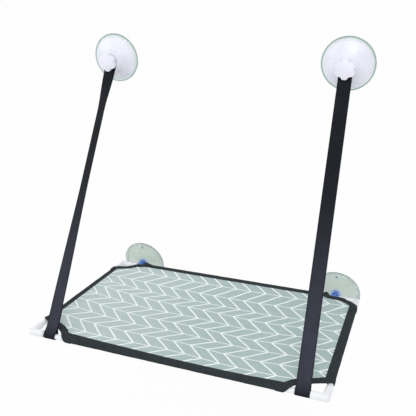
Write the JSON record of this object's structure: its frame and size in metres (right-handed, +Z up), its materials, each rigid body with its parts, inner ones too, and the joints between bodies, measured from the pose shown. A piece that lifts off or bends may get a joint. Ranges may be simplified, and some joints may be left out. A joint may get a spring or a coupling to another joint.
{
  "type": "window mounted cat perch",
  "caption": "Cloth sling on a white tube frame, hung on a window by lower suction cups and webbing straps; it folds up flat.",
  "frame": {"origin": "on the glass, midway between the centres of the two lower suction cups", "axes": "+X to the right seen from the room, +Y into the glass, +Z up"},
  "size_m": [0.5854, 0.3862, 0.6105],
  "materials": {
    "white_tube": "satin white pipe",
    "white_fitting": "smooth moulded white",
    "black_cloth": "woven, matte",
    "printed_cloth": "woven, printed with thin white lines",
    "black_tape": "folded binding tape, stitched",
    "clear_blue_hanger": "clear, slightly blue",
    "clear_cup": "clear soft plastic, slightly green",
    "white_cover": "smooth moulded white",
    "steel": "plain",
    "white_knob": "smooth moulded white",
    "black_webbing": "flat woven webbing"
  },
  "bodies": {
    "window": {"lower_left_cup": "clear_cup", "lower_right_cup": "clear_cup", "left_hanger": "clear_blue_hanger", "right_hanger": "clear_blue_hanger", "upper_left_cup": "clear_cup", "upper_right_cup": "clear_cup", "left_cover": "white_cover", "right_cover": "white_cover", "left_stud": "steel", "right_stud": "steel", "left_strap": "black_webbing", "right_strap": "black_webbing"},
    "perch": {"front_tube": "white_tube", "rear_tube": "white_tube", "left_side_tube": "white_tube", "right_side_tube": "white_tube", "front_left_elbow": "white_fitting", "front_right_elbow": "white_fitting", "rear_left_elbow": "white_fitting", "rear_right_elbow": "white_fitting", "front_sleeve": "black_cloth", "rear_sleeve": "black_cloth", "left_sleeve": "black_cloth", "right_sleeve": "black_cloth", "sling_panel": "printed_cloth", "front_left_tape": "black_tape", "front_right_tape": "black_tape", "rear_left_tape": "black_tape", "rear_right_tape": "black_tape"},
    "left_clamp": {"left_washer": "steel"},
    "right_clamp": {"right_washer": "steel"},
    "left_grip": {"left_knob": "white_knob"},
    "right_grip": {"right_knob": "white_knob"}
  },
  "joints": [
    {"name": "perch_fold", "type": "hinge", "parent": "window", "child": "perch", "pos_m": [0, -0.02405, 0], "axis": [-1, 0, 0], "range_deg": [0, 80], "deforming": ["left_strap", "right_strap"]},
    {"name": "left_clamp_slide", "type": "slide", "parent": "window", "child": "left_clamp", "axis": [0, -1, 0], "range_m": [0, 0.00625]},
    {"name": "left_knob_turn", "type": "hinge", "parent": "left_clamp", "child": "left_grip", "pos_m": [-0.24, -0.0385, 0.508], "axis": [0, -1, 0], "range_deg": [0, 1800]},
    {"name": "right_clamp_slide", "type": "slide", "parent": "window", "child": "right_clamp", "axis": [0, -1, 0], "range_m": [0, 0.00625]},
    {"name": "right_knob_turn", "type": "hinge", "parent": "right_clamp", "child": "right_grip", "pos_m": [0.24, -0.0385, 0.508], "axis": [0, -1, 0], "range_deg": [0, 1800]}
  ],
  "couplings": [
    {"joint": "left_clamp_slide", "follows": "left_knob_turn", "m_per_rad": 0.00019894},
    {"joint": "right_clamp_slide", "follows": "right_knob_turn", "m_per_rad": 0.00019894}
  ]
}
